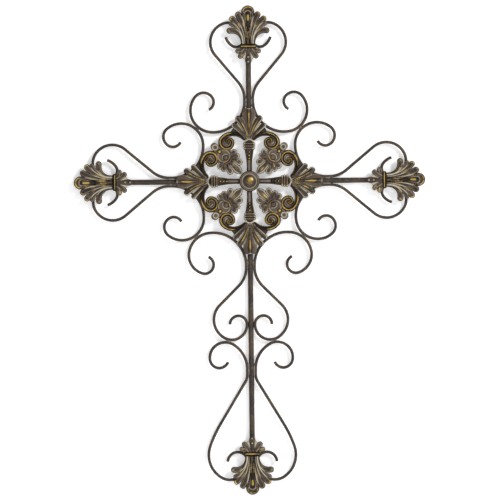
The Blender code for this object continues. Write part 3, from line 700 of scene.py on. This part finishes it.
def volute(relief):
    """The heavy scroll beside a palm: a band with a gold ridge, wound into a round boss."""
    winding = [(31, 45), (25, 45), (12, 45), (10.5, 90), (10.4, 90), (5.6, 110), (2.8, 120)]
    spine = bent_path(mm(79.5, 9.5), 45, winding, 0.9 * MM)
    widths = np.interp(np.linspace(0, 1, len(spine)), (0, 0.2, 0.4, 0.6, 0.78, 0.9, 1),
                       mm(3.6, 4.2, 5.1, 5.4, 4.8, 4.2, 3))
    relief.web(mm((80, 8), (92, 15), (104, 26), (98, 31), (90, 36), (84, 20)), 3 * MM, 0.2)
    relief.turned((72.6, 41.8), (0, 9.8), (2, 2), pale=0.75)
    relief.stroke(spine, widths, rising(6, 8),
                  lambda x, along: 0.36 + 0.64 * bump(x, -0.3, 0.34) + 0.3 * bump(x, 0.62, 0.24),
                  pale=lambda x, along: 0.1 + (0.25 + 0.4 * smooth_step(0.4, 0.6, along))
                  * bump(x, 0.66, 0.2) + 0.22 * bump(x, -0.78, 0.14),
                  gold=lambda x, along: 1.2 * bump(x, -0.3, 0.24) * smooth_step(0.1, 0.35, along))


def spoke(relief):
    """A baluster spoke: a sunk field with three beads between raised rims, and its collar of rings."""
    relief.stroke(mm((72, 0), (76.4, 0), (78, 0)), mm(9.6, 7.8, 5), mm(6.2, 6.2), dome(0.7), over=True,
                  flat_end=True, pale=lambda x, along: 0.95 - 0.4 * smooth_step(0.85, 1, np.abs(x)))
    relief.stroke(mm((15, 0), (22, 0), (40, 0), (52, 0), (59.2, 0), (68, 0)),
                  mm(5.4, 4.6, 5.6, 7.4, 8.5, 8.5), mm(5.2, 5.2),
                  lambda x, along: 0.66 + 0.3 * bump(np.abs(x), 0.74, 0.18)
                  - 0.3 * smooth_step(0.9, 1, np.abs(x)), over=True,
                  pale=lambda x, along: 0.56 * (1 - smooth_step(0.36, 0.6, np.abs(x)))
                  + 0.3 * bump(np.abs(x), 0.76, 0.08))
    for u in (42.4, 48.1, 54.4):
        relief.turned((u, 0), (0, 1.5, 2.4, 3.1), (6.4, 5.8, 4, 3.3),
                      gold=lambda r, lean: 1.1 * bump(r, 0, 1.3))
    for u, half, high in ((61.2, 8.4, 6.4), (65.6, 9.6, 7.2), (70.2, 9.4, 7.4)):
        relief.stroke(mm((u, -half), (u, half)), mm(2.35, 2.35), mm(high, high), dome(0.45), over=True,
                      pale=lambda x, along: 0.42 - 0.5 * smooth_step(0.4, 0.9, np.abs(x))
                      + 0.5 * smooth_step(0.7, 1, np.abs(2 * along - 1)),
                      gold=lambda x, along: 0.4 * bump(x, 0, 0.35))


def rosette_relief(step):
    """The pierced rosette: acanthus leaves, volutes, palms, spokes and the hub."""
    relief = Relief(mm(-140, -140), mm(140, 140), step, fold_to_arm)
    for draw in (acanthus, volute, palm, spoke):
        draw(relief)
    relief.turned((0, 0), (0, 5, 8.6, 10.4, 12.2, 13.2, 14.6, 15.6, 17.4, 19.5),
                  (11, 10.6, 9.4, 7.6, 7.4, 6.2, 6.2, 8.6, 8.6, 4.4),
                  pale=lambda r, lean: 0.26 + 0.95 * bump(r, 13.7, 0.9) + 0.22 * bump(r, 16.8, 1)
                  - 0.15 * smooth_step(18.2, 19, r),
                  gold=lambda r, lean: 0.72 * (1 - smooth_step(5, 11.5, r)) + 0.25 * bump(r, 16.6, 0.8))
    return relief


def stand(angle, out=0.0):
    """A function that turns (u, v, h) points into the model, out along an angle, with h in front."""
    cosine, sine = math.cos(angle), math.sin(angle)

    def place(points):
        u = points[:, 0] + out
        v = points[:, 1]
        return np.stack([u * cosine - v * sine, CASTING_BACK_Y - points[:, 2], u * sine + v * cosine], 1)

    return place


def round_and_paint_shade(relief):
    """Round the outer edge over, and set the marks: painted shade makes them dark by the outline and in
    the hollows, pale patina lies where two leaves meet, and painted shade lies there where valley is
    negative.
    """
    edge = np.clip(relief.inside / (1.3 * MM), 0, 1)
    relief.height = relief.height - 1.6 * MM * (1 - edge) ** 2
    meet = bump(relief.crest - relief.rival, 0, 0.24 * relief.breadth) * (relief.rival > 0) * relief.valley
    meet *= np.abs(relief.height - relief.crest) < 1.7 * MM
    # Painted shade: the marks darken in the hollows and within 1.3 mm of the outline, and the gold fades
    # there.
    deep = np.clip(relief.hollows(1.3 * MM, 0.6 * MM), 0, 1)
    shade = 1 - smooth_step(0.2 * MM, 1.3 * MM, relief.inside)
    relief.pale = np.clip((relief.pale + meet - 0.3 * deep) * (1 - 0.85 * shade), 0, 1)
    relief.gold = np.clip(relief.gold * (1 - shade) - 0.6 * np.abs(meet), 0, 1)


def casting(name, relief, place, grain, material, nodes, boss=None):
    """A casting from its relief, with its marks as attributes.

    The grain stays on the relief, so a second casting from it is a little rougher than the first.
    """
    u, v = relief.at[..., 0], relief.at[..., 1]
    waves = (np.sin(u / (2.1 * MM) + 3 * np.sin(v / (5.3 * MM)))
             + np.sin(v / (2.7 * MM) + 2 * np.sin(u / (4.1 * MM))))
    relief.height = relief.height + grain * waves / 2
    points, faces, marks = relief.mesh(place)
    if boss:
        extra, extra_faces = boss(len(points))
        points = np.concatenate([points, extra])
        faces += extra_faces
        marks = {key: np.concatenate([values, np.zeros(len(extra))]) for key, values in marks.items()}
    piece = new_piece(name, points, faces, material, "casting", *nodes)
    for key, values in marks.items():
        attribute = piece.data.attributes.new(key, "FLOAT", "POINT")
        attribute.data.foreach_set("value", values.astype(np.float32))
    return piece


def wall_boss(first, sides=48):
    """The turned boss behind the hub: rings of points at a radius and a depth."""
    profile = np.array([(0.94, 0), (1, -0.9 * MM), (1, CASTING_BACK_Y - 2 * MM),
                        (0.9, CASTING_BACK_Y - 2.4 * MM)])
    angle = math.tau * np.arange(sides) / sides
    radius = profile[:, :1] * WALL_BOSS_RADIUS
    depth = np.repeat(profile[:, 1:], sides, 1)
    points = np.stack([radius * np.cos(angle), depth, radius * np.sin(angle)], -1)
    return points.reshape(-1, 3), ring_faces(len(profile), sides, first)


class Socket:
    """A shader value on which sums can be written as on a number."""

    def __init__(self, tree, output):
        self.tree = tree
        self.output = output

    def node(self, kind, values, output=0, **settings):
        """Another node in the same tree, with its settings, then the values or links of its sockets."""
        made = self.tree.nodes.new(kind)
        for name, value in settings.items():
            setattr(made, name, value)
        for name, value in values.items():
            if isinstance(value, Socket):
                self.tree.links.new(value.output, made.inputs[name])
            else:
                made.inputs[name].default_value = value
        return Socket(self.tree, made.outputs[output])

    def maths(self, operation, *values):
        """A Math node on this socket and others."""
        return self.node("ShaderNodeMath", dict(enumerate((self, *values))), operation=operation)

    def __add__(self, other):
        return self.maths("ADD", other)

    __radd__ = __add__

    def __mul__(self, other):
        return self.maths("MULTIPLY", other)

    __rmul__ = __mul__

    def __sub__(self, other):
        return self.maths("SUBTRACT", other)

    def __rsub__(self, other):
        return (self * -1) + other

    def clamp(self):
        """This value held between 0 and 1."""
        return self.maths("MAXIMUM", 0.0).maths("MINIMUM", 1.0)

    def between(self, low, high):
        """0 below low, 1 above high, and smooth between."""
        return self.node("ShaderNodeMapRange", {"Value": self, "From Min": low, "From Max": high},
                         interpolation_type="SMOOTHSTEP")

    def blend(self, one, two):
        """A colour mixed from one to two by this value."""
        return self.node("ShaderNodeMix", {"Factor": self, 6: one, 7: two}, output=2, data_type="RGBA")


def new_finish(name):
    """An empty metal finish: its shader node, its own coordinates as a socket, and the material."""
    material = bpy.data.materials.new(name)
    material.use_nodes = True
    tree = material.node_tree
    shader = tree.nodes["Principled BSDF"]
    coordinates = Socket(tree, tree.nodes.new("ShaderNodeTexCoord").outputs["Object"])
    return material, shader, coordinates


def feed(node, **values):
    """Set a node's inputs, named with underscores for spaces, to values or links."""
    for name, value in values.items():
        socket = node.inputs[name.replace("_", " ")]
        if isinstance(value, Socket):
            value.tree.links.new(value.output, socket)
        else:
            socket.default_value = value


def cloud(coordinates, scale, detail=4.0, roughness=0.55):
    """Soft noise about 0.5, at a scale in cycles a metre."""
    return coordinates.node("ShaderNodeTexNoise", {"Vector": coordinates, "Scale": scale, "Detail": detail,
                                                   "Roughness": roughness})


def solid(colour):
    """A colour with full alpha."""
    return (*colour, 1)


def iron_finish(finish):
    """Dark brown iron with warm patches, rubbed streaks and a lightly hammered skin."""
    material, shader, place = new_finish("dark_iron")
    patches = cloud(place, 28).between(0.42, 0.66)
    streaks = cloud(place, 160, 5, 0.6).between(0.53, 0.7)
    ground = (patches * 0.6).blend(solid(finish.iron), solid(finish.umber))
    colour = (streaks * 0.45).blend(ground, solid(finish.worn))
    skin = cloud(place, 420, 3) * 0.6 + cloud(place, 90, 2) * 0.8
    feed(shader, Base_Color=colour, Specular_IOR_Level=0.3, Metallic=0.3 + streaks * 0.25,
         Roughness=0.6 - streaks * 0.15 + patches * 0.08,
         Normal=skin.node("ShaderNodeBump", {"Height": skin, "Strength": 0.35, "Distance": 0.4 * MM}))
    return material


def patina_finish(finish):
    """Dark bronze with brown bodies, pale patina in the hollows and rubbed gold on the ridges."""
    material, shader, place = new_finish("bronze_patina")
    # The pale attribute also carries painted shade: where it is lowered by the outline, in the hollows, where
    # acanthus lobes meet and beside the palm ridges, the colour turns to dark bronze.
    pale = place.node("ShaderNodeAttribute", {}, output=2, attribute_name="pale")
    gold = place.node("ShaderNodeAttribute", {}, output=2, attribute_name="gold")
    fine = cloud(place, 620, 4, 0.6)
    broad = cloud(place, 75, 3)
    tone = pale + (fine - 0.5) * 0.35 + (broad - 0.5) * 0.35
    dust = tone.between(0.45, 0.95)
    rub = (gold + (fine - 0.5) * 0.6 + (broad - 0.5) * 1.8).between(0.35, 0.9)
    ground = tone.between(0.05, 0.5).blend(solid(finish.bronze), solid(finish.brown))
    colour = rub.blend(dust.blend(ground, solid(finish.patina)), solid(finish.gold))
    skin = fine * 0.6 + cloud(place, 1500, 2) * 0.25
    feed(shader, Base_Color=colour, Specular_IOR_Level=0.3, Metallic=(0.2 + rub * 0.5 - dust * 0.2).clamp(),
         Roughness=0.5 + dust * 0.3 - rub * 0.1,
         Normal=skin.node("ShaderNodeBump", {"Height": skin, "Strength": 0.4, "Distance": 0.3 * MM}))
    return material


def weld_finish(finish):
    """Pale grey weld metal, browned in patches."""
    material, shader, place = new_finish("weld_metal")
    patches = cloud(place, 260, 4).between(0.4, 0.62)
    feed(shader, Base_Color=patches.blend(solid(finish.weld), solid([c * 2 for c in finish.iron])),
         Metallic=0.3 + patches * 0.2, Roughness=0.7 - patches * 0.1)
    return material


def finish_named(name, maker):
    """A finish by name, made once."""
    return bpy.data.materials.get(name) or maker(bpy.context.scene.wall_cross_finish)


class CROSS_OT_bars(bpy.types.Operator):
    """Replace the four bars with round hammered bars"""

    bl_idname = "wall_cross.bars"
    bl_label = "Bars"

    def execute(self, context):
        stock = context.scene.wall_cross_stock
        material = finish_named("dark_iron", iron_finish)
        for phase, arm in enumerate(ARMS):
            reach = FOOT_REACH if arm == "bottom" else ARM_REACH
            ends = np.array([(WALL_BOSS_RADIUS + TOUCH, 0), (reach - BAR_STOPS_SHORT, 0)])
            count = math.ceil((ends[1, 0] - ends[0, 0]) / (3 * MM))
            line = ends[0] + (ends[1] - ends[0]) * np.linspace(0, 1, count)[:, None]
            points, faces = tube(on_arm(line, arm), BAR_Y, BAR_DIAMETER / 2, stock.bar_sides,
                                 stock.dent, phase)
            new_piece("dressed_bar_" + arm, points, faces, material, "iron", "bar_" + arm)
        return {"FINISHED"}


class CROSS_OT_wires(bpy.types.Operator):
    """Replace the ten scrolls with round wires of cut ends"""

    bl_idname = "wall_cross.wires"
    bl_label = "Wires"

    def execute(self, context):
        stock = context.scene.wall_cross_stock
        material = finish_named("dark_iron", iron_finish)
        arm, side_arm, knee, foot = all_scrolls(stock.step)
        pairs = ((arm, "top", "top", "left", "right"), (side_arm, "left", "left", "lower", "upper"),
                 (side_arm, "right", "right", "upper", "lower"), (knee, "bottom", "knee", "right", "left"),
                 (foot, "bottom", "foot", "right", "left"))
        wires = [(path, place, side, kind + "_" + end) for path, place, kind, *ends in pairs
                 for side, end in zip((1, -1), ends)]
        for number, (path, place, side, name) in enumerate(wires):
            points, faces = tube(on_arm(path, place, side), WIRE_Y, WIRE_DIAMETER / 2, stock.wire_sides,
                                 stock.dent, number * 1.7)
            new_piece("wire_" + name, points, faces, material, "iron", "scroll_" + name)
        return {"FINISHED"}


def nearest_spots(path, other):
    """The two points, one on each path, that lie nearest to each other."""
    apart = np.linalg.norm(path[:, None] - other[None], axis=2)
    i, j = np.unravel_index(apart.argmin(), apart.shape)
    return path[i], other[j]


class CROSS_OT_welds(bpy.types.Operator):
    """Add the welds along the necks of the scrolls and where two scrolls touch"""

    bl_idname = "wall_cross.welds"
    bl_label = "Welds"

    def execute(self, context):
        stock = context.scene.wall_cross_stock
        material = finish_named("weld_metal", weld_finish)
        top, beside, knee, foot = all_scrolls(stock.step)
        runs = []
        necks = ((top, TOP_NECK_LENGTH, ["top"]), (beside, SIDE_NECK_LENGTH, ["left", "right"]),
                 (knee, KNEE_NECK_LENGTH, ["bottom"]), (foot, FOOT_NECK_LENGTH, ["bottom"]))
        for kind, length, arms in necks:
            first = kind[np.abs(kind[:, 1] - NECK_OFFSET) < 0.001 * MM, 0].min()
            along = np.linspace(first - WELD_BEFORE, first + length + WELD_AFTER, 20)
            line = np.stack([along, np.full(20, WELD_OFFSET)], 1)
            runs += [on_arm(line, arm, side) for arm in arms for side in (1, -1)]
        kisses = ((beside, top[:, ::-1], (("left", -1), ("right", 1))),
                  (knee, beside[:, ::-1], (("bottom", 1), ("bottom", -1))),
                  (foot, knee, (("bottom", 1), ("bottom", -1))))
        for path, other, places in kisses:
            here, there = nearest_spots(path, other)
            along = (there - here)[::-1] * (1, -1) / np.linalg.norm(there - here)
            line = (here + there) / 2 + along * np.linspace(-WELD_AT_TOUCH, WELD_AT_TOUCH, 12)[:, None]
            runs += [on_arm(line, arm, side) for arm, side in places]
        for number, line in enumerate(runs):
            points, faces = weld_run(line, WELD_Y, stock.weld, number * 1.3)
            new_piece(f"weld_{number + 1:02d}", points, faces, material, "iron")
        return {"FINISHED"}


class CROSS_OT_finials(bpy.types.Operator):
    """Replace the four finials with cast palmettes"""

    bl_idname = "wall_cross.finials"
    bl_label = "Finials"

    def execute(self, context):
        settings = context.scene.wall_cross_casting
        material = finish_named("bronze_patina", patina_finish)
        relief = finial_relief(settings.finial_grid)
        round_and_paint_shade(relief)
        for arm, angle in ARMS.items():
            reach = FOOT_REACH if arm == "bottom" else ARM_REACH
            place = stand(math.radians(angle), reach - FINIAL_LENGTH_OUT)
            casting("palmette_" + arm, relief, place, settings.grain / 4, material, ["finial_" + arm])
        return {"FINISHED"}


class CROSS_OT_rosette(bpy.types.Operator):
    """Replace the rosette with the pierced casting"""

    bl_idname = "wall_cross.rosette"
    bl_label = "Rosette"

    def execute(self, context):
        settings = context.scene.wall_cross_casting
        material = finish_named("bronze_patina", patina_finish)
        relief = rosette_relief(settings.rosette_grid)
        round_and_paint_shade(relief)
        casting("pierced_rosette", relief, stand(0), settings.grain, material, ["rosette"], wall_boss)
        return {"FINISHED"}


class CROSS_OT_stage(bpy.types.Operator):
    """Set up the wall, the floor, the lights and the camera"""

    bl_idname = "wall_cross.stage"
    bl_label = "Stage"

    def execute(self, context):
        stage = context.scene.wall_cross_stage
        side, low = SHEET_REACH, CAD_BOX[0][2] - FLOOR_DROP
        sheets = {
            "wall": [(-side, WALL_Y, low), (side, WALL_Y, low),
                     (side, WALL_Y, WALL_TOP), (-side, WALL_Y, WALL_TOP)],
            "floor": [(-side, -side, low), (side, -side, low), (side, WALL_Y, low), (-side, WALL_Y, low)],
        }
        for name, corners in sheets.items():
            mesh = bpy.data.meshes.new(name)
            mesh.from_pydata(corners, [], [(0, 1, 2, 3)])
            sheet = bpy.data.objects.new(name, mesh)
            context.scene.collection.objects.link(sheet)
            mesh.materials.append(self.paint(name, stage.wall, stage.glow))
        self.lights(context.scene, stage)
        self.camera(context.scene, stage)
        return {"FINISHED"}

    def paint(self, name, colour, glow):
        """Matt backlit paint on the front of a sheet only, so that it never hides the cross's back."""
        material = bpy.data.materials.new(name + "_paint")
        material.use_nodes = True
        tree = material.node_tree
        shader = tree.nodes["Principled BSDF"]
        feed(shader, Base_Color=solid(colour), Roughness=0.95, Specular_IOR_Level=0.1,
             Emission_Color=solid(colour), Emission_Strength=glow)
        behind = Socket(tree, tree.nodes.new("ShaderNodeNewGeometry").outputs["Backfacing"])
        clear = behind.node("ShaderNodeBsdfTransparent", {})
        mixed = behind.node("ShaderNodeMixShader", {0: behind, 1: Socket(tree, shader.outputs[0]), 2: clear})
        tree.links.new(mixed.output, tree.nodes["Material Output"].inputs["Surface"])
        return material

    def lights(self, scene, stage):
        """A soft key from the upper right and an even white surround."""
        key = bpy.data.lights.new("key", "AREA")
        key.shape = "DISK"
        key.size = KEY_SIZE
        key.energy = stage.key
        lamp = bpy.data.objects.new("key", key)
        lamp.location = KEY_PLACE
        lamp.rotation_euler = (KEY_AIM - KEY_PLACE).to_track_quat("-Z", "Y").to_euler()
        scene.collection.objects.link(lamp)
        world = bpy.data.worlds.new("surround")
        world.use_nodes = True
        feed(world.node_tree.nodes["Background"], Color=solid((1, 1, 1)), Strength=stage.fill)
        scene.world = world
        scene.view_settings.view_transform = "Standard"

    def camera(self, scene, stage):
        """A long lens, straight on, that sees a given width of the wall."""
        lens = bpy.data.cameras.new("camera")
        lens.lens = lens.sensor_width * stage.distance / stage.width
        camera = bpy.data.objects.new("camera", lens)
        turn = Euler((math.pi / 2, 0, 0)).to_matrix() @ Matrix.Rotation(stage.roll, 3, "Z")
        camera.matrix_world = turn.to_4x4()
        camera.location = turn @ Vector((stage.left, -stage.above, stage.distance))
        scene.collection.objects.link(camera)
        scene.camera = camera


class CROSS_PT_panel(bpy.types.Panel):
    """Lists the operators and their settings"""

    bl_idname = "CROSS_PT_panel"
    bl_label = "Wall cross"
    bl_space_type = "VIEW_3D"
    bl_region_type = "UI"
    bl_category = "Wall cross"

    def draw(self, context):
        for operator in OPERATORS:
            self.layout.operator(operator.bl_idname)
        for name in GROUPS:
            group = getattr(context.scene, name)
            box = self.layout.box()
            for key in group.bl_rna.properties.keys():
                if key not in ("rna_type", "name"):
                    box.prop(group, key)


GROUPS = {
    "wall_cross_stock": CrossStock,
    "wall_cross_casting": CrossCasting,
    "wall_cross_finish": CrossFinish,
    "wall_cross_stage": CrossStage,
}
OPERATORS = (CROSS_OT_bars, CROSS_OT_wires, CROSS_OT_welds, CROSS_OT_finials, CROSS_OT_rosette,
             CROSS_OT_stage)


def register():
    """Register the settings, the operators and the panel."""
    for name, group in GROUPS.items():
        bpy.utils.register_class(group)
        setattr(bpy.types.Scene, name, PointerProperty(type=group))
    for thing in (*OPERATORS, CROSS_PT_panel):
        bpy.utils.register_class(thing)


def unregister():
    """Take away what register added."""
    for thing in (CROSS_PT_panel, *reversed(OPERATORS)):
        bpy.utils.unregister_class(thing)
    for name, group in GROUPS.items():
        delattr(bpy.types.Scene, name)
        bpy.utils.unregister_class(group)


def main():
    """Build every piece and the stage."""
    register()
    for operator in OPERATORS:
        group, name = operator.bl_idname.split(".")
        getattr(getattr(bpy.ops, group), name)()


if __name__ == "__main__":
    main()
